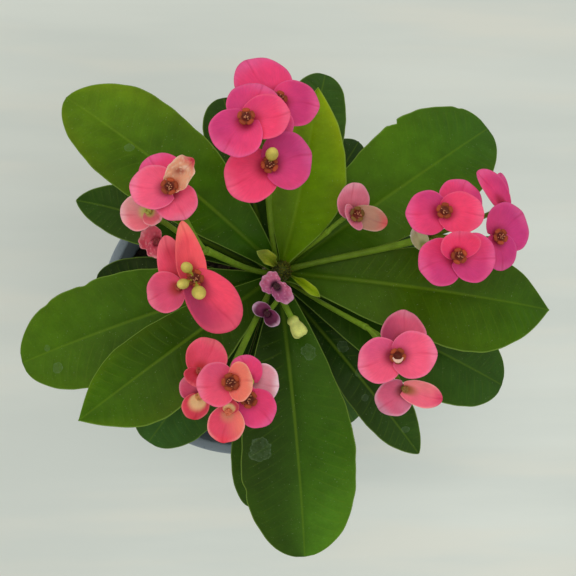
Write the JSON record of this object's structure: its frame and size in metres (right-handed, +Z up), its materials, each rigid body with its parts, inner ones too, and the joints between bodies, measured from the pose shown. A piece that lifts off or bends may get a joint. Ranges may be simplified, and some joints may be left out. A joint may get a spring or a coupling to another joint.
{
  "type": "crown of thorns plant",
  "caption": "Potted crown of thorns: a thick thorny stem with a rosette of large leaves and stalked clusters of pink two-bract blooms, in a round plastic pot.",
  "frame": {"origin": "centre of the pot's flat underside", "axes": "+Z up the pot's axis, +X and +Y across it; seen from above with +Y away from the viewer, the pale youngest large leaf points along +Y"},
  "size_m": [0.2262, 0.2188, 0.2523],
  "materials": {
    "pot": "smooth blue-grey plastic, slightly glossy",
    "soil": "dark crumbly potting mix",
    "bark": "grey-brown rough bark with grey thorns",
    "young_leaf": "waxy yellow-green leaf with a pale midrib and margin",
    "leaf": "waxy dark green leaf with a paler midrib and side veins",
    "stalk": "smooth green flower stalk, cup and buds",
    "bloom": "satin hot pink bracts with fine veins",
    "faded_bloom": "dull, faded or withered bracts"
  },
  "bodies": {
    "root": {"pot": "pot", "soil": "soil", "stem": "bark", "leaf_01": "young_leaf", "leaf_02": "young_leaf", "leaf_03": "young_leaf", "leaf_04": "young_leaf", "leaf_05": "leaf", "leaf_06": "young_leaf", "leaf_07": "leaf", "leaf_08": "leaf", "leaf_09": "leaf", "leaf_10": "leaf", "leaf_11": "leaf", "leaf_12": "leaf", "leaf_13": "leaf", "leaf_14": "leaf", "leaf_15": "leaf", "leaf_16": "leaf", "leaf_17": "leaf", "leaf_18": "leaf", "leaf_19": "leaf", "leaf_20": "leaf", "stalk_top": "stalk", "stalk_left": "stalk", "stalk_low": "stalk", "stalk_right": "stalk", "stalk_corner": "stalk", "stalk_crown": "stalk", "stalk_single": "stalk", "bloom_top_1": "bloom", "bloom_top_2": "bloom", "bloom_top_3": "bloom", "bloom_top_4": "bloom", "bloom_left_1": "bloom", "bloom_left_2": "faded_bloom", "bloom_left_3": "faded_bloom", "bloom_left_4": "bloom", "bloom_left_5": "bloom", "bloom_low_1": "bloom", "bloom_low_2": "bloom", "bloom_low_3": "bloom", "bloom_low_4": "bloom", "bloom_low_5": "bloom", "bloom_low_6": "bloom", "bloom_right_1": "bloom", "bloom_right_2": "bloom", "bloom_right_3": "bloom", "bloom_right_4": "bloom", "bloom_right_5": "bloom", "bloom_right_6": "faded_bloom", "bloom_corner_1": "bloom", "bloom_corner_2": "bloom", "bloom_corner_3": "bloom", "bloom_crown_1": "faded_bloom", "bloom_crown_2": "faded_bloom", "bloom_single": "faded_bloom"}
  },
  "joints": []
}
